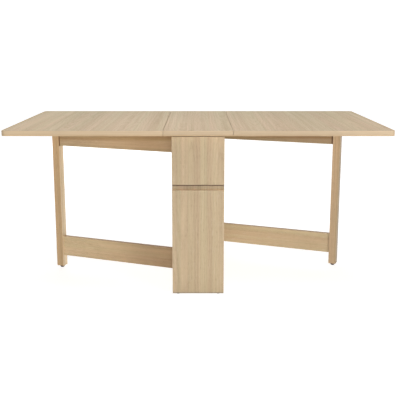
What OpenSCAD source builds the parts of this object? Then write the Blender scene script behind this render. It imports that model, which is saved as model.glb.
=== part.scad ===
// Gateleg drop leaf table with a narrow centre frame, two long leaves, two
// swinging gates and one drawer. Origin on the floor under the middle of the
// top, +X along the length, +Z up. The drawer opens towards -Y.

/* [Top] */
// Height of the table's top surface above the floor
table_h = 750; // [700:1:780]
// Thickness of the centre board and of both leaves
top_t = 23; // [22:1:32]
// Depth of the top, from front edge to back edge
top_depth = 945; // [880:5:1000]
// Width of the fixed centre board
centre_w = 300; // [290:1:340]
// Width of one leaf, from its hinged edge to its outer edge
leaf_w = 698; // [670:1:700]
// Open seam between the centre board and a leaf
seam_gap = 1.6; // [1.2:0.1:2]
// Plan radius of the leaves' outer corners
corner_r = 20; // [5:1:60]

/* [Centre frame] */
// Width of the front and back slabs
slab_w = 232; // [226:1:260]
// Thickness of the front and back slabs
slab_t = 20; // [18:1:20]
// Distance from the table's middle to the outer face of a slab
slab_y = 430; // [430:1:435]
// Height of the drawer front's lower edge
drawer_low = 506; // [490:1:540]
// Height of the finger groove under the drawer front
groove_h = 25; // [18:1:30]
// Depth of the finger groove
groove_d = 14; // [8:1:14]
// Clear width inside the drawer bay
bay_inner = 106; // [96:1:106]
// Thickness of the drawer bay's side panels
bay_t = 15; // [10:1:15]

/* [Gates] */
// Sideways distance from the table's middle to a gate's pivot
pivot_x = 90; // [89:1:92]
// Distance from the table's middle to a gate's pivot along the depth
pivot_y = 262; // [258:1:266]
// Length of a gate from its pivot to the middle of its leg
gate_len = 651; // [620:1:651]
// Angle between an open gate and the table's length
gate_angle = 22.1; // [15:0.1:30]
// Side of the square leg
leg_w = 37; // [30:1:37]
// Thickness of the gate rails
rail_t = 22; // [16:1:24]
// Height above the floor of the lower rail's lower edge
low_rail_z = 68; // [66:1:120]
// Height of the lower rail
low_rail_h = 99; // [60:1:120]
// Height above the floor of the upper rail's lower edge
top_rail_z = 626; // [600:1:650]
// Side of the square pivot stile
stile_w = 28; // [24:1:30]

/* [Drawer] */
// Outside length of the drawer box behind its front
drawer_len = 420; // [380:5:500]
// Thickness of the drawer's sides and back
drawer_t = 10; // [8:1:12]
// Thickness of the drawer's bottom
drawer_floor_t = 5; // [4:1:6]

/* [Hidden] */

$fn = 64;
eps = 1;                                // how far a cutter runs past a face

// Colours
oak = "#c9ab80";
oak_dark = "#b08c60";
birch = "#d8c39c";
steel = "#b9b4a8";
brass = "#b39a5a";
dark_plastic = "#3a2b22";
felt = "#4d463f";

// Heights
under_top = table_h - top_t;            // underside of the top boards
slab_low = 2;                           // the slabs stand on thin glides
groove_low = drawer_low - groove_h;
slot_low = drawer_low - 6;              // a slot is left under the drawer front
slot_back_t = 2.5;                      // what closes the slot from behind
slot_back_high = drawer_low - 1;
drawer_high = under_top - 8;            // shadow gap over the drawer front
bay_low = groove_low - 40;              // lower edge of the bay's sides
bay_floor_t = 12;
bay_floor_high = drawer_low - 5;
stretcher_t = 20;
stretcher_high = 62;
cleat_t = 18;
leg_low = 12;
leg_high = under_top - 5;
stile_low = stretcher_high + 2;
stile_high = under_top - 5;
top_rail_high = under_top - 7;

// Plan sizes
slab_in = slab_y - slab_t;              // inner face of a slab
bay_out = bay_inner / 2 + bay_t;        // outer face of a bay side
hinge_x = centre_w / 2 + seam_gap / 2;  // leaf hinge axis
leaf_in = centre_w / 2 + seam_gap;      // hinged edge of a leaf
leaf_out = leaf_in + leaf_w;

// Leaf hinges
hinge_at = [-320, 0, 320];
hinge_len = 60;
barrel_r = 3.5;
pin_r = 1.75;
plate_t = 2;
plate_w = 32;
plate_from = 4.2;                       // from the axis to the plate's edge
knuckle = 30;                           // the leaf's middle knuckle
play = 0.3;
hinge_screw_y = [-22, 0, 22];
hinge_screw_x = [14, 24, 14];

// Pivots
pivot_pin_r = 5;
bush_r = 7;
bush_bore_r = pivot_pin_r + 0.05;
flange_r = 12;
flange_t = 2;
bush_len = 18;
pin_in_stile = 30;
pin_in_bush = 17;

// Joints in the woodwork
tenon_t = 10;
tenon_in_leg = 20;
tenon_in_stile = 8;                     // ends short of the pivot pins
tenon_shoulder = 10;
dowel_r = 4;
dowel_half = 14;
stretcher_dowel_x = [-40, 40];
bay_dowel_z = [560, 660];
bay_front_dowel_z = bay_low + 16;

// Cleats and their screws
cleat_len = 45;
cleat_in = slab_in - 5;                 // outer end of each cleat
cleat_screw_x = 34;
screw_r = 2;
screw_head_r = 4;
screw_head_h = 2.2;

// Drawer
box_half = bay_inner / 2 - 1.5;
box_low = bay_floor_high + 8.3;
box_high = under_top - 33;
box_back = -slab_in + drawer_len;       // far end of the drawer box
floor_groove = 4;
floor_z = box_low + 8;
runner_h = 8;
runner_w = 12;
drawer_screw_z = [box_low + 30, box_high - 30];

// Gate stops
peg_r = 5;
peg_low = under_top - 23;
peg_in_top = 15;
bumper_r = 8;
bumper_t = pivot_x - leg_w / 2 - bay_out - 0.3;
bumper_z = 600;
foot_r = 11;
leg_pad_r = 13;
leg_pad_t = 4.5;

// A child drawn once on each side, turned half a turn about the middle
module both_ends() {
    children();
    rotate(180) children();
}

// Moves from a gate's own frame, with +X along the gate from its pivot, to the
// open left gate, whose +Y side then faces the front of the table
module at_left_gate() {
    translate([-pivot_x, -pivot_y, 0])
        rotate(180 - gate_angle) children();
}

// The right gate is the left one turned half a turn
module at_right_gate() {
    rotate(180) at_left_gate() children();
}

// A board centred on the X axis of its own frame
module board(from, to, width, low, high) {
    translate([from, -width / 2, low]) cube([to - from, width, high - low]);
}

// A countersunk screw, head up at z = 0, with a slot across its head
module screw(length) {
    difference() {
        rotate_extrude($fn = 24) polygon([[0, 0], [screw_head_r, 0],
            [screw_r, -screw_head_h], [screw_r, -length + 3], [0, -length]]);
        translate([-screw_head_r, -0.4, -0.8]) cube([2 * screw_head_r, 0.8, 2]);
    }
}

// The room that a screw takes up in the boards it holds
module screw_hole(length) {
    rotate_extrude($fn = 24) polygon([[0, 0], [screw_head_r, 0],
        [screw_r, -screw_head_h], [screw_r, -length + 3], [0, -length]]);
}

// ---- Leaf hinges, drawn for the left seam; side = -1 left, 1 right ----

module at_hinges(side) {
    for (y = hinge_at) translate([side * hinge_x, y, under_top]) children();
}

module barrel(from, to, r) {
    translate([0, from, 0]) rotate([-90, 0, 0])
        cylinder(h = to - from, r = r, $fn = 32);
}

// One hinge plate: toward = 1 reaches to +X, -1 to -X
module hinge_plate(toward, is_leaf) {
    half = hinge_len / 2;
    spans = is_leaf
        ? [[-knuckle / 2 + play, knuckle / 2 - play]]
        : [[-half, -knuckle / 2], [knuckle / 2, half]];
    difference() {
        union() {
            translate([toward > 0 ? plate_from : -plate_w, -half, 0])
                cube([plate_w - plate_from, hinge_len, plate_t]);
            for (s = spans) {
                barrel(s[0], s[1], barrel_r);
                translate([toward > 0 ? 0 : -plate_from - eps, s[0], 0])
                    cube([plate_from + eps, s[1] - s[0], plate_t]);
            }
        }
        barrel(-half - eps, half + eps, pin_r + (is_leaf ? 0.05 : 0));
        hinge_screw_spots(toward) rotate([180, 0, 0]) screw_hole(16);
    }
}

module hinge_screw_spots(toward) {
    for (i = [0:2])
        translate([toward * hinge_screw_x[i], hinge_screw_y[i], 0]) children();
}

// The pocket that one side of a hinge needs in its board
module hinge_pocket(toward) {
    half = hinge_len / 2 + play;
    barrel(-half, half, barrel_r + 0.5);
    translate([toward > 0 ? -eps : -plate_w - play, -half, -eps])
        cube([plate_w + play + eps, 2 * half, plate_t + eps]);
    hinge_screw_spots(toward) rotate([180, 0, 0]) screw_hole(16);
}

module hinge_pins(side) {
    color(steel) at_hinges(side)
        barrel(-hinge_len / 2, hinge_len / 2, pin_r);
}

module hinge_screws(side, toward) {
    color(steel) at_hinges(side) hinge_screw_spots(toward)
        rotate([180, 0, 0]) screw(16);
}

// ---- Top ----

module centre_top() {
    color(oak) difference() {
        translate([-centre_w / 2, -top_depth / 2, under_top])
            cube([centre_w, top_depth, top_t]);
        for (side = [-1, 1]) at_hinges(side) hinge_pocket(-side);
        both_ends() translate([-pivot_x, -pivot_y, under_top - eps])
            cylinder(h = bush_len + eps, r = bush_r);
        both_ends() at_peg() translate([0, 0, under_top - eps])
            cylinder(h = peg_in_top + eps, r = peg_r, $fn = 32);
        at_cleat_screws() rotate([180, 0, 0]) screw_hole(35);
    }
}

module leaf(side) {
    from = min(side * leaf_in, side * (leaf_out - corner_r));
    color(oak) difference() {
        translate([0, 0, under_top]) linear_extrude(top_t) union() {
            translate([from, -top_depth / 2])
                square([leaf_w - corner_r, top_depth]);
            translate([side > 0 ? leaf_out - 2 * corner_r : -leaf_out,
                -top_depth / 2 + corner_r])
                square([2 * corner_r, top_depth - 2 * corner_r]);
            for (y = [-1, 1])
                translate([side * (leaf_out - corner_r),
                    y * (top_depth / 2 - corner_r)])
                    circle(r = corner_r);
        }
        at_hinges(side) hinge_pocket(side);
    }
}

// ---- Centre frame ----

module front_slab() {
    color(oak) difference() {
        union() {
            translate([-slab_w / 2, -slab_y, slab_low])
                cube([slab_w, slab_t, groove_low - slab_low]);
            translate([-slab_w / 2, -slab_y + groove_d, slab_low])
                cube([slab_w, slab_t - groove_d, slot_low - slab_low]);
            translate([-slab_w / 2, -slab_in - slot_back_t, slab_low])
                cube([slab_w, slot_back_t, slot_back_high - slab_low]);
        }
        stretcher_dowels();
        bay_front_dowels();
    }
}

module back_slab() {
    color(oak) difference() {
        translate([-slab_w / 2, slab_in, slab_low])
            cube([slab_w, slab_t, under_top - slab_low]);
        stretcher_dowels();
        bay_back_dowels();
    }
}

module bay_side(side) {
    color(oak_dark) difference() {
        translate([side > 0 ? bay_inner / 2 : -bay_out, -slab_in, bay_low])
            cube([bay_t, 2 * slab_in, under_top - bay_low]);
        bay_front_dowels();
        bay_back_dowels();
    }
}

module bay_floor() {
    color(birch)
        translate([-bay_inner / 2, -slab_in, bay_floor_high - bay_floor_t])
        cube([bay_inner, 2 * slab_in, bay_floor_t]);
}

module bay_cleats() {
    color(birch) difference() {
        for (y = [-cleat_in, cleat_in - cleat_len])
            translate([-bay_inner / 2, y, under_top - cleat_t])
                cube([bay_inner, cleat_len, cleat_t]);
        at_cleat_screws() rotate([180, 0, 0]) screw_hole(35);
    }
}

module drawer_runners() {
    color(birch) for (x = [-bay_inner / 2, bay_inner / 2 - runner_w])
        translate([x, -slab_in, bay_floor_high])
            cube([runner_w, drawer_len + 60, runner_h]);
}

module lower_stretcher() {
    color(oak_dark) difference() {
        translate([-bay_out, -slab_in, stretcher_high - stretcher_t])
            cube([2 * bay_out, 2 * slab_in, stretcher_t]);
        stretcher_dowels();
    }
}

module pivot_blocks() {
    block_out = pivot_x + 22;
    color(oak_dark) both_ends() difference() {
        translate([-block_out, -pivot_y - 25, stretcher_high - stretcher_t])
            cube([block_out - bay_out, 50, stretcher_t]);
        translate([-pivot_x, -pivot_y, stretcher_high - bush_len])
            cylinder(h = bush_len + eps, r = bush_r);
    }
}

// A flanged bush, its flange standing on z = 0 and its barrel below
module bush() {
    difference() {
        union() {
            translate([0, 0, -bush_len]) cylinder(h = bush_len, r = bush_r);
            cylinder(h = flange_t, r = flange_r);
        }
        translate([0, 0, -bush_len - eps])
            cylinder(h = bush_len + flange_t + 2 * eps, r = bush_bore_r);
    }
}

module pivot_bushes() {
    color(brass) both_ends() translate([-pivot_x, -pivot_y, 0]) {
        translate([0, 0, stretcher_high]) bush();
        translate([0, 0, under_top]) rotate([180, 0, 0]) bush();
    }
}

module dowel_along_y(x, y, z) {
    translate([x, y - dowel_half, z]) rotate([-90, 0, 0])
        cylinder(h = 2 * dowel_half, r = dowel_r, $fn = 32);
}

module stretcher_dowels() {
    for (x = stretcher_dowel_x, y = [-slab_in, slab_in])
        dowel_along_y(x, y, stretcher_high - stretcher_t / 2);
}

module bay_front_dowels() {
    for (side = [-1, 1])
        dowel_along_y(side * (bay_out - bay_t / 2), -slab_in,
            bay_front_dowel_z);
}

module bay_back_dowels() {
    for (side = [-1, 1], z = bay_dowel_z)
        dowel_along_y(side * (bay_out - bay_t / 2), slab_in, z);
}

module frame_dowels() {
    color(birch) {
        stretcher_dowels();
        bay_front_dowels();
        bay_back_dowels();
    }
}

module at_cleat_screws() {
    for (x = [-cleat_screw_x, cleat_screw_x], y = [-1, 1])
        translate([x, y * (cleat_in - cleat_len / 2), under_top - cleat_t])
            children();
}

module frame_screws() {
    color(steel) at_cleat_screws() rotate([180, 0, 0]) screw(35);
}

module slab_glides() {
    color(dark_plastic)
        for (x = [-1, 1] * (slab_w / 2 - 25), y = [-1, 1] * (slab_y - slab_t / 2))
            translate([x, y, 0]) cylinder(h = slab_low, r = 8);
}

// Middle of the left gate's stop peg, which the open gate rests against
module at_peg() {
    at_left_gate() translate([32, rail_t / 2 + peg_r + 0.2, 0]) children();
}

module gate_stop_pegs() {
    color(birch) both_ends() at_peg() translate([0, 0, peg_low])
        cylinder(h = under_top + peg_in_top - peg_low, r = peg_r, $fn = 32);
}

// Pads that a folded leg comes to rest against
module fold_bumpers() {
    color(felt) both_ends()
        translate([-bay_out, gate_len - pivot_y, bumper_z])
        rotate([0, -90, 0]) cylinder(h = bumper_t, r = bumper_r);
}

// ---- Gates, drawn along +X from the pivot ----

leg_from = gate_len - leg_w / 2;
leg_to = gate_len + leg_w / 2;

module tenons(low, high) {
    board(stile_w / 2 - tenon_in_stile, leg_from + tenon_in_leg, tenon_t,
        low + tenon_shoulder, high - tenon_shoulder);
}

module rail(low, high) {
    color(oak) union() {
        board(stile_w / 2, leg_from, rail_t, low, high);
        tenons(low, high);
    }
}

module all_tenons() {
    tenons(low_rail_z, low_rail_z + low_rail_h);
    tenons(top_rail_z, top_rail_high);
}

module leg() {
    color(oak) difference() {
        board(leg_from, leg_to, leg_w, leg_low, leg_high);
        all_tenons();
        translate([gate_len, 0, leg_low - eps])
            cylinder(h = 12 + eps, r = 4, $fn = 32);
    }
}

module stile() {
    color(oak) difference() {
        board(-stile_w / 2, stile_w / 2, stile_w, stile_low, stile_high);
        all_tenons();
        pivot_pins_shape();
    }
}

module pivot_pins_shape() {
    translate([0, 0, stile_low + pin_in_stile])
        mirror([0, 0, 1]) cylinder(h = pin_in_stile + flange_t + pin_in_bush,
            r = pivot_pin_r);
    translate([0, 0, stile_high - pin_in_stile])
        cylinder(h = pin_in_stile + 5 + pin_in_bush, r = pivot_pin_r);
}

module pivot_pins() {
    color(steel) pivot_pins_shape();
}

// Round foot, domed underneath, on a stem that is driven into the leg
module leg_glide() {
    color(dark_plastic) translate([gate_len, 0, 0]) union() {
        rotate_extrude() polygon([[0, 0], [foot_r - 7, 0], [foot_r - 3, 1.5],
            [foot_r, 5], [foot_r, leg_low], [0, leg_low]]);
        cylinder(h = leg_low + 12, r = 4, $fn = 32);
    }
}

module leg_pad() {
    color(felt) translate([gate_len, 0, leg_high])
        cylinder(h = leg_pad_t, r = leg_pad_r);
}

// ---- Drawer ----

module drawer_front() {
    pull_lip = 6;
    pull_w = 9;
    pull_h = 10;
    color(oak) difference() {
        translate([-slab_w / 2, -slab_y, drawer_low])
            cube([slab_w, slab_t, drawer_high - drawer_low]);
        translate([-slab_w / 2 + 20, -slab_y + pull_lip, drawer_low - eps])
            cube([slab_w - 40, pull_w, pull_h + eps]);
        at_drawer_screws() screw_hole(22);
    }
}

module drawer_side(side) {
    from = side > 0 ? box_half - drawer_t : -box_half;
    color(birch) difference() {
        translate([from, -slab_in, box_low])
            cube([drawer_t, drawer_len, box_high - box_low]);
        drawer_floor_shape();
    }
}

// A panel between the drawer's sides, its front face at y
module drawer_cross_panel(y) {
    difference() {
        translate([-box_half + drawer_t, y, box_low])
            cube([2 * (box_half - drawer_t), drawer_t, box_high - box_low]);
        drawer_floor_shape();
    }
}

module drawer_back() {
    color(birch) drawer_cross_panel(box_back - drawer_t);
}

module drawer_inner_front() {
    color(birch) difference() {
        drawer_cross_panel(-slab_in);
        at_drawer_screws() screw_hole(22);
    }
}

module drawer_floor_shape() {
    wide = box_half - drawer_t + floor_groove;
    from = -slab_in + drawer_t - floor_groove;
    translate([-wide, from, floor_z])
        cube([2 * wide, box_back - drawer_t + floor_groove - from,
            drawer_floor_t]);
}

module drawer_floor() {
    color(birch) drawer_floor_shape();
}

module drawer_stop_block() {
    color(oak_dark)
        translate([-20, box_back - drawer_t, box_high])
        cube([40, drawer_t, 22]);
}

// Screws from inside the box through its inner front into the drawer front
module at_drawer_screws() {
    for (x = [-1, 1] * 25, z = drawer_screw_z)
        translate([x, -slab_in + drawer_t, z]) rotate([-90, 0, 0]) children();
}

module drawer_screws() {
    color(steel) at_drawer_screws() screw(22);
}

centre_top();
front_slab();
back_slab();
bay_side(-1);  // bay_side_left
bay_side(1);  // bay_side_right
bay_floor();
bay_cleats();
drawer_runners();
lower_stretcher();
pivot_blocks();
pivot_bushes();
frame_dowels();
frame_screws();
slab_glides();
gate_stop_pegs();
fold_bumpers();
color(steel) at_hinges(-1) hinge_plate(1, false);  // left_hinge_fixed_plates
color(steel) at_hinges(1) hinge_plate(-1, false);  // right_hinge_fixed_plates
hinge_pins(-1);  // left_hinge_pins
hinge_pins(1);  // right_hinge_pins
hinge_screws(-1, 1);  // left_hinge_fixed_screws
hinge_screws(1, -1);  // right_hinge_fixed_screws
leaf(-1);  // left_leaf
color(steel) at_hinges(-1) hinge_plate(-1, true);  // left_hinge_leaf_plates
hinge_screws(-1, -1);  // left_hinge_leaf_screws
leaf(1);  // right_leaf
color(steel) at_hinges(1) hinge_plate(1, true);  // right_hinge_leaf_plates
hinge_screws(1, 1);  // right_hinge_leaf_screws
at_left_gate() leg();  // left_leg
at_left_gate() stile();  // left_stile
at_left_gate() rail(top_rail_z, top_rail_high);  // left_top_rail
at_left_gate() rail(low_rail_z, low_rail_z + low_rail_h);  // left_bottom_rail
at_left_gate() pivot_pins();  // left_pivot_pins
at_left_gate() leg_glide();  // left_leg_glide
at_left_gate() leg_pad();  // left_leg_pad
at_right_gate() leg();  // right_leg
at_right_gate() stile();  // right_stile
at_right_gate() rail(top_rail_z, top_rail_high);  // right_top_rail
at_right_gate() rail(low_rail_z, low_rail_z + low_rail_h);  // right_bottom_rail
at_right_gate() pivot_pins();  // right_pivot_pins
at_right_gate() leg_glide();  // right_leg_glide
at_right_gate() leg_pad();  // right_leg_pad
drawer_front();
drawer_inner_front();
drawer_side(-1);  // drawer_side_left
drawer_side(1);  // drawer_side_right
drawer_back();
drawer_floor();
drawer_stop_block();
drawer_screws();
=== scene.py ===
import math

import bpy
from mathutils import Matrix, Vector


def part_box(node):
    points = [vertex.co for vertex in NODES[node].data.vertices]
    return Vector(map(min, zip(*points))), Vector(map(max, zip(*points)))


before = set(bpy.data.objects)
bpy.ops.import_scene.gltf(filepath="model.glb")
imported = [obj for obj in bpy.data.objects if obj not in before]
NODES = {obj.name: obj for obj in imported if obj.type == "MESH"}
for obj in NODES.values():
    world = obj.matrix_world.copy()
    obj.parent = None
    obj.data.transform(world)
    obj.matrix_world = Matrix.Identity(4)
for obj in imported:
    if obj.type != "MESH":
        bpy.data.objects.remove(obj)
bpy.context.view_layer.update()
MM = 0.001


# ---------------------------------------------------------------- camera

CAMERA_AT = Vector((0.0, -3.606, 1.1165))
CAMERA_PITCH = math.radians(12.07)
LENS = 65.85
SENSOR = 36.0
SHIFT_X = 0.0047


def add_camera():
    data = bpy.data.cameras.new("camera")
    data.lens = LENS
    data.sensor_width = SENSOR
    data.shift_x = SHIFT_X
    data.dof.use_dof = False
    camera = bpy.data.objects.new("camera", data)
    camera.location = CAMERA_AT
    camera.rotation_euler = (math.pi / 2 - CAMERA_PITCH, 0, 0)
    bpy.context.scene.collection.objects.link(camera)
    bpy.context.scene.camera = camera


# ---------------------------------------------------------------- shader node helpers


class Graph:
    """Adds nodes to a node tree. An input is a socket, a number, a tuple or None."""

    def __init__(self, tree):
        self.tree = tree

    def node(self, kind, inputs=None, **settings):
        node = self.tree.nodes.new(kind)
        for name, value in settings.items():
            setattr(node, name, value)
        for key, value in (inputs or {}).items():
            self.feed(node.inputs[key], value)
        return node

    def feed(self, socket, value):
        if isinstance(value, bpy.types.NodeSocket):
            self.tree.links.new(value, socket)
        elif value is not None:
            socket.default_value = value

    def math(self, operation, a, b=None, c=None):
        inputs = {0: a, 1: b, 2: c}
        return self.node("ShaderNodeMath", inputs, operation=operation).outputs[0]

    def clamp01(self, value):
        return self.node("ShaderNodeClamp", {"Value": value}).outputs[0]

    def vector_math(self, operation, a, b=None, scale=None):
        inputs = {0: a, 1: b} if scale is None else {0: a, "Scale": scale}
        node = self.node("ShaderNodeVectorMath", inputs, operation=operation)
        return node.outputs["Value" if operation in ("LENGTH", "DOT_PRODUCT") else "Vector"]

    def xyz(self, x, y, z):
        return self.node("ShaderNodeCombineXYZ", {0: x, 1: y, 2: z}).outputs[0]

    def split(self, vector):
        return self.node("ShaderNodeSeparateXYZ", {0: vector}).outputs[:3]

    def noise(self, vector, scale=1.0, detail=2.0, roughness=0.5):
        inputs = {"Vector": vector, "Scale": scale, "Detail": detail, "Roughness": roughness}
        return self.node("ShaderNodeTexNoise", inputs).outputs["Fac"]

    def ramp(self, value, low, high):
        """0 below low and 1 above high, smooth between; high may be the smaller one."""
        inputs = {"Value": value, "From Min": low, "From Max": high}
        node = self.node("ShaderNodeMapRange", inputs, interpolation_type="SMOOTHSTEP")
        return node.outputs["Result"]

    def mix(self, factor, a, b, blend="MIX"):
        node = self.node("ShaderNodeMix", data_type="RGBA", blend_type=blend)
        self.feed(node.inputs["Factor"], factor)
        self.feed(node.inputs[6], a)
        self.feed(node.inputs[7], b)
        return node.outputs[2]

    def stretched(self, vector, along, across):
        """The vector with its X scaled by along and its Y and Z by across."""
        return self.vector_math("MULTIPLY", vector, (along, across, across))


def colour(red, green, blue):
    """A linear colour from the 0 to 255 numbers of a screen colour."""
    def linear(value):
        value /= 255
        return value / 12.92 if value <= 0.04045 else ((value + 0.055) / 1.055) ** 2.4
    return (linear(red), linear(green), linear(blue), 1.0)


def new_material(name):
    material = bpy.data.materials.new(name)
    material.use_nodes = True
    graph = Graph(material.node_tree)
    shader = material.node_tree.nodes["Principled BSDF"]
    return material, graph, shader


def add_bump(graph, shader, height, strength, distance):
    inputs = {"Height": height, "Strength": strength, "Distance": distance}
    bump = graph.node("ShaderNodeBump", inputs)
    graph.feed(shader.inputs["Normal"], bump.outputs["Normal"])


# ---------------------------------------------------------------- oak

RING = 0.0105           # spacing of the growth rings, in metres
FIGURE_WARP = 0.040     # how far the rings wander
ROSY = (1.06, 0.96, 0.97, 1)
OLIVE = (0.94, 1.02, 0.93, 1)
HUE_SPREAD = 0.35       # how strongly the wood turns rosy or olive in places
PORE_BROWN = (0.20, 0.12, 0.06, 1)
FLECK_PALE = (1.0, 0.95, 0.86, 1)
WORN_PALE = (0.80, 0.66, 0.47, 1)
WORN_WIDTH = 0.0035     # how far wear reaches in from an arris


def make_oak_group():
    """Oak as a solid: X runs along the grain, and each stave is cut from its own log."""
    tree = bpy.data.node_groups.new("oak_figure", "ShaderNodeTree")
    face = tree.interface
    face.new_socket("Vector", in_out="INPUT", socket_type="NodeSocketVector")
    for name in ("Seed", "Stave"):
        face.new_socket(name, in_out="INPUT", socket_type="NodeSocketFloat")
    for name in ("Light", "Dark"):
        face.new_socket(name, in_out="INPUT", socket_type="NodeSocketColor")
    face.new_socket("Color", in_out="OUTPUT", socket_type="NodeSocketColor")
    for name in ("Height", "Roughness"):
        face.new_socket(name, in_out="OUTPUT", socket_type="NodeSocketFloat")

    g = Graph(tree)
    given = g.node("NodeGroupInput").outputs
    along, side, deep = g.split(given["Vector"])
    stave = g.math("FLOOR", g.math("ADD", g.math("DIVIDE", side, given["Stave"]), 0.5))
    chance = g.node("ShaderNodeTexWhiteNoise", {"Vector": g.xyz(stave, given["Seed"], 0.0)})
    chance_a, chance_b, chance_c = g.split(chance.outputs["Color"])
    log = g.vector_math("SCALE", chance.outputs["Color"], scale=7.0)
    place = g.vector_math("ADD", given["Vector"], log)
    elsewhere = g.vector_math("ADD", place, (3.1, 5.7, 2.3))

    # Distance from the log's own middle, which leans a little against the board
    middle = g.math("MULTIPLY", g.math("SUBTRACT", chance_a, 0.5), given["Stave"])
    from_middle = g.math("SUBTRACT", side, g.math("MULTIPLY", stave, given["Stave"]))
    from_middle = g.math("ADD", from_middle, g.math("MULTIPLY", middle, 0.8))
    lean = g.math("MULTIPLY", along, g.math("MULTIPLY_ADD", chance_b, 0.12, -0.06))
    below = g.math("ADD", g.math("ADD", deep, lean), g.math("MULTIPLY_ADD", chance_c, 0.05, 0.02))
    radius = g.math("SQRT", g.math("ADD", g.math("MULTIPLY", from_middle, from_middle),
                                   g.math("MULTIPLY", below, below)))
    warp = g.noise(g.stretched(place, 2.2, 9.0), detail=2.0)
    radius = g.math("MULTIPLY_ADD", g.math("SUBTRACT", warp, 0.5), FIGURE_WARP, radius)
    wave = g.math("SINE", g.math("MULTIPLY", radius, 2 * math.pi / RING))
    ring = g.math("POWER", g.math("MULTIPLY_ADD", wave, 0.5, 0.5), 1.6)

    # Lines along the grain, from broad to fine, then pores and flecks
    band = g.noise(g.stretched(place, 0.35, 42.0), detail=2.0)
    streak = g.noise(g.stretched(place, 1.3, 190.0), detail=3.0, roughness=0.6)
    cloud = g.noise(g.stretched(place, 1.0, 4.0), detail=1.0)
    pores = g.ramp(g.noise(g.stretched(place, 45.0, 1500.0), detail=1.0), 0.58, 0.70)
    pores = g.math("MULTIPLY", pores, g.math("MULTIPLY_ADD", ring, 0.6, 0.4))
    flecks = g.ramp(g.noise(g.stretched(place, 30.0, 260.0), detail=0.0), 0.66, 0.74)

    tone = g.math("MULTIPLY", ring, 0.14)
    tone = g.math("MULTIPLY_ADD", streak, 0.75, tone)
    tone = g.math("MULTIPLY_ADD", band, 1.25, tone)
    tone = g.math("MULTIPLY_ADD", cloud, 0.20, tone)
    tone = g.math("MULTIPLY_ADD", chance_a, 0.08, tone)
    tone = g.clamp01(g.math("SUBTRACT", tone, 0.72))
    wood = g.mix(tone, given["Light"], given["Dark"])
    hue = g.ramp(g.noise(g.stretched(elsewhere, 0.30, 28.0), detail=2.0), 0.36, 0.64)
    wood = g.mix(HUE_SPREAD, wood, g.mix(hue, ROSY, OLIVE), "MULTIPLY")
    wood = g.mix(g.math("MULTIPLY", pores, 0.45), wood, PORE_BROWN, "MULTIPLY")
    wood = g.mix(g.math("MULTIPLY", flecks, 0.04), wood, FLECK_PALE, "SCREEN")

    height = g.math("MULTIPLY_ADD", pores, -1.0, g.math("MULTIPLY", ring, -0.25))
    height = g.math("MULTIPLY_ADD", streak, 0.3, height)
    rough = g.math("MULTIPLY_ADD", tone, 0.16, g.math("MULTIPLY_ADD", pores, 0.2, 0.40))
    outlet = g.node("NodeGroupOutput")
    for name, value in (("Color", wood), ("Height", height), ("Roughness", rough)):
        g.feed(outlet.inputs[name], value)
    return tree


OAK_FIGURE = make_oak_group()

# Turns that bring a board's own grain direction onto X
GRAIN_TURN = {
    "X": Matrix.Identity(3),
    "Y": Matrix(((0, 1, 0), (1, 0, 0), (0, 0, -1))),
    "Z": Matrix(((0, 0, 1), (1, 0, 0), (0, 1, 0))),
}


def board_frame(node, grain, swing=0.0):
    """The turn from the table's frame to a board's grain frame, and the board's box in it."""
    turn = GRAIN_TURN[grain] @ Matrix.Rotation(-swing, 3, "Z")
    points = [turn @ vertex.co for vertex in NODES[node].data.vertices]
    low = [min(point[axis] for point in points) for axis in range(3)]
    high = [max(point[axis] for point in points) for axis in range(3)]
    return turn, Vector(low), Vector(high)


def grain_vector(graph, turn):
    """Object coordinates turned into the grain frame."""
    place = graph.node("ShaderNodeTexCoord").outputs["Object"]
    rows = [graph.vector_math("DOT_PRODUCT", place, tuple(row)) for row in turn]
    return graph.xyz(*rows)


def edge_distance(graph, vector, low, high):
    """How far a point of a board's surface is from the board's nearest edge."""
    centre = (low + high) / 2
    half = (high - low) / 2
    offset = graph.vector_math("SUBTRACT", vector, tuple(centre))
    inside = graph.vector_math("SUBTRACT", tuple(half), graph.vector_math("ABSOLUTE", offset))
    a, b, c = graph.split(inside)
    lesser = graph.math("MINIMUM", a, b)
    greater = graph.math("MAXIMUM", a, b)
    return graph.math("MAXIMUM", lesser, graph.math("MINIMUM", greater, c))


def oak_material(node, grain, light, dark, seed, swing=0.0, stave=10.0, shade=None):
    """An oak board: figure along its grain, worn arrises and a thin matt lacquer.
    shade, if given, changes the colour before the wear goes on."""
    material, g, shader = new_material("oak_" + node)
    turn, low, high = board_frame(node, grain, swing)
    vector = grain_vector(g, turn)
    figure = g.node("ShaderNodeGroup", node_tree=OAK_FIGURE)
    # The middle of the board's width lies in the middle of a stave
    centre = (low + high) / 2
    shifted = g.vector_math("SUBTRACT", vector, (0.0, centre.y, centre.z))
    for name, value in (("Vector", shifted), ("Seed", seed), ("Stave", stave),
                        ("Light", light), ("Dark", dark)):
        g.feed(figure.inputs[name], value)
    wood = figure.outputs["Color"]
    if shade is not None:
        wood = shade(g, wood)
    edge = edge_distance(g, vector, low, high)
    patches = g.noise(vector, scale=18.0, detail=3.0)
    worn = g.math("MULTIPLY", g.ramp(edge, WORN_WIDTH, 0.0), g.ramp(patches, 0.35, 0.65))
    wood = g.mix(g.math("MULTIPLY", worn, 0.30), wood, WORN_PALE)
    g.feed(shader.inputs["Base Color"], wood)
    rough = g.math("MULTIPLY_ADD", worn, 0.15, figure.outputs["Roughness"])
    g.feed(shader.inputs["Roughness"], rough)
    shader.inputs["Specular IOR Level"].default_value = 0.35
    add_bump(g, shader, figure.outputs["Height"], 0.35, 0.0004)
    return material


# ---------------------------------------------------------------- other materials

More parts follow.
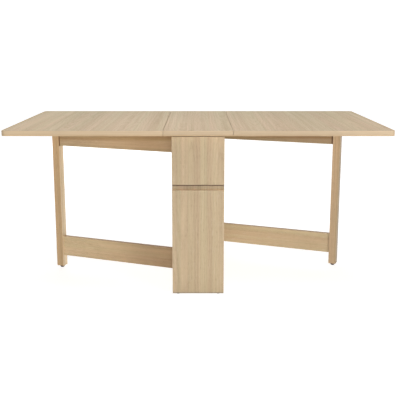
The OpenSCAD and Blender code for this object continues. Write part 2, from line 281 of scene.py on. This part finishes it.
PLASTIC_BROWN = (0.052, 0.030, 0.018, 1)
PLASTIC_SCUFFED = (0.13, 0.09, 0.065, 1)
FELT_DARK = (0.020, 0.018, 0.016, 1)
FELT_PALE = (0.16, 0.14, 0.12, 1)


def brushed_metal(name, tint, rough, scale=(900.0, 60.0, 900.0)):
    material, g, shader = new_material(name)
    place = g.node("ShaderNodeTexCoord").outputs["Object"]
    lines = g.noise(g.vector_math("MULTIPLY", place, scale), detail=3.0)
    smudge = g.noise(place, scale=60.0, detail=3.0)
    shade = g.math("MULTIPLY_ADD", lines, 0.25, g.math("MULTIPLY", smudge, 0.35))
    dark = tuple(0.62 * part for part in tint[:3]) + (1.0,)
    g.feed(shader.inputs["Base Color"], g.mix(g.clamp01(shade), tint, dark))
    g.feed(shader.inputs["Roughness"], g.math("MULTIPLY_ADD", shade, 0.25, rough))
    shader.inputs["Metallic"].default_value = 1.0
    add_bump(g, shader, lines, 0.15, 0.0001)
    return material


def moulded_plastic():
    material, g, shader = new_material("brown_plastic")
    place = g.node("ShaderNodeTexCoord").outputs["Object"]
    grit = g.noise(place, scale=2600.0, detail=2.0)
    scuffs = g.ramp(g.noise(place, scale=140.0, detail=4.0), 0.52, 0.72)
    base = g.mix(g.math("MULTIPLY", scuffs, 0.45), PLASTIC_BROWN, PLASTIC_SCUFFED)
    g.feed(shader.inputs["Base Color"], base)
    g.feed(shader.inputs["Roughness"], g.math("MULTIPLY_ADD", scuffs, 0.25, 0.42))
    add_bump(g, shader, grit, 0.25, 0.0001)
    return material


def pressed_felt():
    material, g, shader = new_material("grey_felt")
    place = g.node("ShaderNodeTexCoord").outputs["Object"]
    fibres = g.noise(place, scale=1800.0, detail=4.0, roughness=0.7)
    tufts = g.noise(place, scale=260.0, detail=3.0)
    blend = g.clamp01(g.math("MULTIPLY_ADD", tufts, 0.6, g.math("MULTIPLY", fibres, 0.4)))
    g.feed(shader.inputs["Base Color"], g.mix(blend, FELT_DARK, FELT_PALE))
    shader.inputs["Roughness"].default_value = 0.95
    shader.inputs["Sheen Weight"].default_value = 0.4
    add_bump(g, shader, fibres, 0.6, 0.0004)
    return material


# ---------------------------------------------------------------- dressing the nodes

# The lighter and darker tone of each kind of board
TOP_LIGHT = colour(200, 174, 134)
TOP_DARK = colour(178, 153, 118)
PANEL_LIGHT = colour(199, 177, 144)
PANEL_DARK = colour(165, 144, 114)
GATE_LIGHT = colour(206, 178, 140)
GATE_DARK = colour(173, 146, 111)
INNER_LIGHT = colour(200, 172, 136)
INNER_DARK = colour(176, 148, 116)
BAND_LIGHT = colour(202, 179, 146)
BAND_DARK = colour(181, 157, 129)
BIRCH_LIGHT = colour(214, 190, 150)
BIRCH_DARK = colour(188, 158, 116)

GATE_ANGLE = math.radians(22.1)         # of an open gate to the table's length
TOP_STAVE = 116 * MM                    # widths of the staves the boards look glued up from
PANEL_STAVE = 78 * MM


def dress(node, material):
    """Gives a node its one material."""
    NODES[node].data.materials.clear()
    NODES[node].data.materials.append(material)


def ease_edges(node, width):
    """Rounds a board's sharp arrises by a small modifier on top of its fixed mesh."""
    piece = NODES[node]
    weld = piece.modifiers.new("weld", "WELD")
    weld.merge_threshold = 0.00001
    bevel = piece.modifiers.new("bevel", "BEVEL")
    bevel.width = width
    bevel.segments = 2
    bevel.limit_method = "ANGLE"
    bevel.angle_limit = math.radians(40)
    normals = piece.modifiers.new("normals", "WEIGHTED_NORMAL")
    normals.keep_sharp = True


def plywood(node, grain, seed):
    return oak_material(node, grain, BIRCH_LIGHT, BIRCH_DARK, seed)


def toned(g, wood, where, factor):
    """The wood times a factor where a mask is 1."""
    return g.mix(where, wood, g.vector_math("SCALE", wood, scale=factor))


# Tones of the top, with painted shade among them. A range runs from where a tone isn't seen yet to
# where it is full.
EDGE_BAND_TONES = {"centre_top": 1.0, "left_leaf": 1.08, "right_leaf": 0.95}
LOW_BAND_SHADE = (0.90, 0.84, 0.75, 1)        # painted shade: the edge band darkens towards its lower edge
FAR_TOP_SHADE = (0.90, 0.935, 0.91, 1)        # painted shade: the top is a little greyer towards the back
FAR_SHADE_RANGE = (-0.30, 0.45)
END_TONE = 1.09                         # the leaves are a little paler towards their ends
END_RANGE = (0.58, 0.74)
SEAM_SHADE_TONE = 0.9                         # painted shade in the seams, by distance from their middle
SEAM_SHADE_RANGE = (1.5 * MM, 1.0 * MM)


def edge_band(g, place, band_tone):
    """The solid band along the edges of the top, with its grain lengthwise and painted shade towards
    its lower edge.
    """
    lines = g.noise(g.vector_math("MULTIPLY", place, (3.0, 3.0, 260.0)), detail=3.0)
    patches = g.noise(g.vector_math("MULTIPLY", place, (6.0, 6.0, 40.0)), detail=2.0)
    tone = g.clamp01(g.math("MULTIPLY_ADD", lines, 0.9, g.math("MULTIPLY_ADD", patches, 0.6, -0.35)))
    band = g.vector_math("SCALE", g.mix(tone, BAND_LIGHT, BAND_DARK), scale=band_tone)
    low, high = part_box("centre_top")[0][2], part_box("centre_top")[1][2]
    # painted shade on the lower part of the band
    lower_part = g.ramp(g.split(place)[2], low + 0.55 * (high - low), low)
    return g.mix(lower_part, band, LOW_BAND_SHADE, "MULTIPLY")


def top_shade(node):
    """Veneer on the flat faces, a solid band along the edges, and painted shade in the seams and
    towards the back.
    """
    def shade(g, wood):
        coordinates = g.node("ShaderNodeTexCoord")
        place = coordinates.outputs["Object"]
        upright = g.math("ABSOLUTE", g.split(coordinates.outputs["Normal"])[2])
        on_edge = g.ramp(upright, 0.75, 0.45)
        wood = g.mix(on_edge, wood, edge_band(g, place, EDGE_BAND_TONES[node]))
        seam = (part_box("centre_top")[1][0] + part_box("right_leaf")[0][0]) / 2
        sideways = g.math("ABSOLUTE", g.split(place)[0])
        from_seam = g.math("ABSOLUTE", g.math("SUBTRACT", sideways, seam))
        # painted shade in the seams between the boards
        wood = toned(g, wood, g.ramp(from_seam, *SEAM_SHADE_RANGE), SEAM_SHADE_TONE)
        # painted shade, darker towards the back of the top
        wood = g.mix(g.ramp(g.split(place)[1], *FAR_SHADE_RANGE), wood, FAR_TOP_SHADE, "MULTIPLY")
        return toned(g, wood, g.ramp(sideways, *END_RANGE), END_TONE)
    return shade


# Painted shade and painted light on the front slab. Depths are from its front. The groove's heights
# are from its ledge, and the last two ranges are heights above the floor.
GROOVE_HEIGHT = 25 * MM
# painted shade: a warm brown over the back of the finger groove
GROOVE_SHADE_BROWN = (0.97, 0.94, 0.94, 1)
BACK_DEPTH = (10 * MM, 13 * MM)
BACK_HEIGHT = (2 * MM, 21 * MM)
BACK_LOW_LIGHT = 1.10                    # painted light on the groove's back, just above the ledge
BACK_HIGH_SHADE = 0.68                   # and painted shade on it just under the drawer's front
SLOT_SHADE_BROWN = (0.22, 0.06, 0.01, 1)      # painted shade in the thin slot under the drawer's front
SLOT_DEPTH = (14.5 * MM, 16.5 * MM)
LEDGE_HIGHLIGHT = 2.0                        # a painted highlight on the flat of the ledge
LEDGE_HALF_HEIGHT = (0.6 * MM, 0.2 * MM)
LEDGE_DEPTH = (0.5 * MM, 1.5 * MM)
LOW_SLAB_SHADE = 0.955                   # painted shade: the slab is a little darker near the floor
LOW_SLAB_SHADE_RANGE = (100 * MM, 10 * MM)
FOOT_SHADOW_GREY = (0.55, 0.60, 0.66, 1)       # and a painted contact shadow greys its lowest few millimetres
FOOT_SHADOW_RANGE = (8.5 * MM, 5 * MM)


def front_slab_shade(g, wood):
    """Painted shade in the finger groove, its slot and near the floor, a painted contact shadow at
    the foot, and painted light low on the groove's back and on the ledge.
    """
    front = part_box("front_slab")[0][1]
    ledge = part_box("drawer_front")[0][2] - GROOVE_HEIGHT
    place = g.split(g.node("ShaderNodeTexCoord").outputs["Object"])
    depth = g.math("SUBTRACT", place[1], front)
    height = g.math("SUBTRACT", place[2], ledge)
    at_back = g.ramp(depth, *BACK_DEPTH)
    back_light_and_shade = g.math("MULTIPLY_ADD", g.ramp(height, *BACK_HEIGHT),
                       BACK_HIGH_SHADE - BACK_LOW_LIGHT, BACK_LOW_LIGHT)
    in_slot = g.math("MULTIPLY", g.ramp(depth, *SLOT_DEPTH), g.ramp(height, 0.0, 1 * MM))
    from_ledge = g.math("ABSOLUTE", height)
    on_ledge = g.math("MULTIPLY", g.ramp(from_ledge, *LEDGE_HALF_HEIGHT),
                      g.ramp(depth, *LEDGE_DEPTH))
    # painted shade in the finger groove, with painted light just above the ledge
    wood = g.mix(at_back, toned(g, wood, at_back, back_light_and_shade), GROOVE_SHADE_BROWN, "MULTIPLY")
    # painted shade in the slot under the drawer's front
    wood = g.mix(in_slot, wood, SLOT_SHADE_BROWN, "MULTIPLY")
    # painted shade near the floor
    wood = toned(g, wood, g.ramp(place[2], *LOW_SLAB_SHADE_RANGE), LOW_SLAB_SHADE)
    # a painted contact shadow along the foot
    wood = g.mix(g.ramp(place[2], *FOOT_SHADOW_RANGE), wood, FOOT_SHADOW_GREY, "MULTIPLY")
    # a painted highlight on the ledge
    return toned(g, wood, on_ledge, LEDGE_HIGHLIGHT)


def dress_top():
    boards = (("centre_top", 100 * MM), ("left_leaf", TOP_STAVE), ("right_leaf", TOP_STAVE))
    for seed, (node, stave) in enumerate(boards):
        dress(node, oak_material(node, "Y", TOP_LIGHT, TOP_DARK, 3.0 + seed,
                                 stave=stave, shade=top_shade(node)))
        ease_edges(node, 1.4 * MM)


def dress_frame():
    for seed, node in enumerate(("front_slab", "back_slab", "drawer_front")):
        shade = front_slab_shade if node == "front_slab" else None
        dress(node, oak_material(node, "Z", PANEL_LIGHT, PANEL_DARK, 11.0 + seed % 2,
                                 stave=PANEL_STAVE, shade=shade))
        ease_edges(node, 0.8 * MM)
    inner = (("bay_side_left", "Y"), ("bay_side_right", "Y"), ("lower_stretcher", "Y"),
             ("pivot_blocks", "Y"), ("drawer_stop_block", "X"))
    for seed, (node, grain) in enumerate(inner):
        dress(node, oak_material(node, grain, INNER_LIGHT, INNER_DARK, 21.0 + seed))
        ease_edges(node, 0.6 * MM)
    birch = (("bay_floor", "Y"), ("bay_cleats", "X"), ("drawer_runners", "Y"),
             ("drawer_inner_front", "X"), ("drawer_side_left", "Y"), ("drawer_side_right", "Y"),
             ("drawer_back", "X"), ("drawer_floor", "Y"))
    for seed, (node, grain) in enumerate(birch):
        dress(node, plywood(node, grain, 31.0 + seed))
        ease_edges(node, 0.5 * MM)
    for seed, (node, grain) in enumerate((("frame_dowels", "Y"), ("gate_stop_pegs", "Z"))):
        dress(node, plywood(node, grain, 41.0 + seed))


# What each piece's wood is multiplied by near its gate's pivot, and near its leg: partly the board's
# own tone and partly painted light and shade, such as the slab's shadow on the left bottom rail near
# its pivot
GATE_TONE_AND_SHADE = {
    "left_leg": ((1.05, 0.97, 0.92), (1.05, 0.97, 0.92)),
    "left_stile": ((1.0, 1.0, 1.0), (1.0, 1.0, 1.0)),
    "left_top_rail": ((0.95, 0.93, 0.90), (0.90, 0.94, 0.98)),
    "left_bottom_rail": ((0.94, 0.89, 0.84), (1.26, 1.33, 1.37)),
    "right_leg": ((0.85, 0.865, 0.88), (0.85, 0.865, 0.88)),
    "right_stile": ((1.0, 1.0, 1.0), (1.0, 1.0, 1.0)),
    "right_top_rail": ((0.73, 0.80, 0.89), (0.61, 0.60, 0.60)),
    "right_bottom_rail": ((1.17, 1.26, 1.34), (1.03, 1.10, 1.15)),
}
GATE_REACH = (0.05, 0.62)               # between which distances from the pivot that changes
# The same, as painted light on the left leg and painted shade on the right leg, for the side of each
# leg that faces the right end and the front of the table
SIDE_LIGHT_AND_SHADE = {"left_leg": (1.28, 1.40, 1.66, 1), "right_leg": (0.72, 0.74, 0.80, 1)}
# A painted shadow of the leaf's front edge darkens the wood above a line on each top rail: the
# line's height at the pivot, and how much it rises for each metre towards the leg
LEAF_SHADOW_LINE = {"left_top_rail": (0.683, -0.0443), "right_top_rail": (0.626, 0.0456)}
LEAF_SHADOW_BROWN = (0.85, 0.78, 0.66, 1)
LINE_BLUR = (-9 * MM, 6 * MM)           # over what height the painted shadow fades in, about the line
JOINT_SHADE_BROWN = (0.42, 0.30, 0.22, 1)     # painted shade where a top rail meets its leg
JOINT_SHADE_FROM = (0.6235, 0.6255)           # how far that is from the pivot, on the right gate
RAIL_HEIGHT = (0.622, 0.626)            # from where painted shade darkens the left leg beside its top rail
GATE_GRAIN = {"leg": "Z", "stile": "Z", "top_rail": "X", "bottom_rail": "X"}


def leg_side_light_and_shade(g, node, height):
    """The painted light on that side of the left leg, brown with painted shade where the top rail
    joins it, and the painted shade on that side of the right leg.
    """
    painted_side = SIDE_LIGHT_AND_SHADE[node]
    if node == "left_leg":
        # painted shade beside the top rail
        painted_side = g.mix(g.ramp(height, *RAIL_HEIGHT), painted_side, JOINT_SHADE_BROWN)
    return painted_side


def shadowed_upper_part(g, wood, node, from_pivot, height):
    """A top rail's wood, with a painted shadow of the leaf's edge above its line."""
    start, rise = LEAF_SHADOW_LINE[node]
    line = g.math("MULTIPLY_ADD", from_pivot, rise, start)
    above = g.math("SUBTRACT", height, line)
    # painted shadow above the line
    return g.mix(g.ramp(above, *LINE_BLUR), wood, LEAF_SHADOW_BROWN, "MULTIPLY")


def gate_shade(node):
    """Wood whose tone and painted light and shade change from a gate's pivot to its leg, with
    painted light and shade on a side of each leg, a painted shadow on the top rails and painted
    shade where they meet the legs.
    """
    near_pivot, near_leg = GATE_TONE_AND_SHADE[node]
    low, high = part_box(node.split("_")[0] + "_pivot_pins")
    pivot = (Vector(low) + Vector(high)) / 2
    sideways = (math.cos(GATE_ANGLE), -math.sin(GATE_ANGLE), 0.0)

    def shade(g, wood):
        coordinates = g.node("ShaderNodeTexCoord")
        height = g.split(coordinates.outputs["Object"])[2]
        offset = g.vector_math("SUBTRACT", coordinates.outputs["Object"], tuple(pivot))
        flat = g.vector_math("MULTIPLY", offset, (1.0, 1.0, 0.0))
        from_pivot = g.vector_math("LENGTH", flat)
        along = g.ramp(from_pivot, *GATE_REACH)
        # the board's own tone with painted light and shade, from pivot to leg
        tone = g.mix(along, near_pivot + (1.0,), near_leg + (1.0,))
        if node in SIDE_LIGHT_AND_SHADE:
            facing = g.vector_math("DOT_PRODUCT", coordinates.outputs["Normal"], sideways)
            # painted light and shade on one side of each leg
            tone = g.mix(g.ramp(facing, 0.6, 0.9), tone, leg_side_light_and_shade(g, node, height))
        wood = g.mix(1.0, wood, tone, "MULTIPLY")
        if node in LEAF_SHADOW_LINE:
            # a painted shadow of the leaf's edge on the top rail
            wood = shadowed_upper_part(g, wood, node, from_pivot, height)
        if node == "right_top_rail":
            # painted shade where the right top rail meets its leg
            wood = g.mix(g.ramp(from_pivot, *JOINT_SHADE_FROM), wood, JOINT_SHADE_BROWN, "MULTIPLY")
        return wood
    return shade


def dress_gates():
    for seed, node in enumerate(GATE_TONE_AND_SHADE):
        part = node.split("_", 1)[1]
        dress(node, oak_material(node, GATE_GRAIN[part], GATE_LIGHT, GATE_DARK, 51.0 + seed,
                                 swing=-GATE_ANGLE, shade=gate_shade(node)))
        ease_edges(node, 1.2 * MM if part == "leg" else 1.0 * MM)


def dress_fittings():
    zinc = brushed_metal("zinc_plate", (0.60, 0.58, 0.53, 1), 0.30)
    screw = brushed_metal("screw_steel", (0.56, 0.55, 0.53, 1), 0.26, (300.0, 300.0, 300.0))
    ground = brushed_metal("ground_steel", (0.62, 0.62, 0.62, 1), 0.18, (400.0, 400.0, 60.0))
    brass = brushed_metal("turned_brass", (0.72, 0.50, 0.20, 1), 0.25, (400.0, 400.0, 900.0))
    plastic = moulded_plastic()
    felt = pressed_felt()
    for side in ("left", "right"):
        for part in ("hinge_fixed_plates", "hinge_leaf_plates"):
            dress(side + "_" + part, zinc)
        for part in ("hinge_fixed_screws", "hinge_leaf_screws"):
            dress(side + "_" + part, screw)
        for part in ("hinge_pins", "pivot_pins"):
            dress(side + "_" + part, ground)
        dress(side + "_leg_glide", plastic)
        dress(side + "_leg_pad", felt)
    for node in ("frame_screws", "drawer_screws"):
        dress(node, screw)
    dress("pivot_bushes", brass)
    dress("slab_glides", plastic)
    dress("fold_bumpers", felt)


# ---------------------------------------------------------------- stage and light

FLOOR_GLOW = 0.82       # the floor shines a little, so that it comes out nearly white
WORLD_LIGHT = 0.05


def add_floor():
    """A plain pale floor that turns up into a plain pale backdrop, with no corner."""
    half_width = 9.0
    front = -7.0
    back = 5.0
    rise = 6.0
    bend = 2.0
    steps = 16
    line = [(front, 0.0), (back, 0.0)]
    for step in range(1, steps + 1):
        turn = math.pi / 2 * step / steps
        line.append((back + bend * math.sin(turn), bend - bend * math.cos(turn)))
    line.append((back + bend, rise))
    verts = [(x, y, z) for y, z in line for x in (-half_width, half_width)]
    faces = [(2 * i, 2 * i + 1, 2 * i + 3, 2 * i + 2) for i in range(len(line) - 1)]
    mesh = bpy.data.meshes.new("floor")
    mesh.from_pydata(verts, [], faces)
    for polygon in mesh.polygons:
        polygon.use_smooth = True
    floor = bpy.data.objects.new("floor", mesh)
    bpy.context.scene.collection.objects.link(floor)
    material, _, shader = new_material("pale_floor")
    shader.inputs["Base Color"].default_value = (0.50, 0.50, 0.50, 1)
    shader.inputs["Emission Color"].default_value = (1.0, 1.0, 1.0, 1)
    shader.inputs["Emission Strength"].default_value = FLOOR_GLOW
    shader.inputs["Roughness"].default_value = 0.75
    shader.inputs["Specular IOR Level"].default_value = 0.2
    mesh.materials.append(material)


def add_area(name, at, aim, size, power):
    data = bpy.data.lights.new(name, "AREA")
    data.shape = "DISK"
    data.size = size
    data.energy = power
    light = bpy.data.objects.new(name, data)
    light.location = at
    light.visible_camera = False
    light.rotation_euler = (Vector(aim) - Vector(at)).to_track_quat("-Z", "Y").to_euler()
    bpy.context.scene.collection.objects.link(light)
    return light


def add_lights():
    world = bpy.data.worlds.new("studio")
    world.use_nodes = True
    world.node_tree.nodes["Background"].inputs["Color"].default_value = (1.0, 1.0, 1.0, 1)
    world.node_tree.nodes["Background"].inputs["Strength"].default_value = WORLD_LIGHT
    bpy.context.scene.world = world
    add_area("key", (2.8, -3.8, 0.8), (0.0, 0.0, 0.5), 1.2, 79.0)
    add_area("front", (0.2, -5.0, 1.25), (0.0, 0.0, 0.5), 1.4, 48.0)
    add_area("overhead", (0.0, -0.3, 3.2), (0.0, -0.3, 0.7), 2.4, 59.0)
    back_fill = add_area("back_fill", (-1.5, 5.0, 1.4), (0.0, 0.0, 0.5), 2.0, 45.0)
    back_fill.visible_glossy = False
    add_area("backdrop_light", (0.0, 2.0, 5.5), (0.0, 7.0, 2.0), 5.0, 55.0)


add_camera()
dress_top()
dress_frame()
dress_gates()
dress_fittings()
add_floor()
add_lights()
bpy.context.scene.view_settings.view_transform = "Standard"
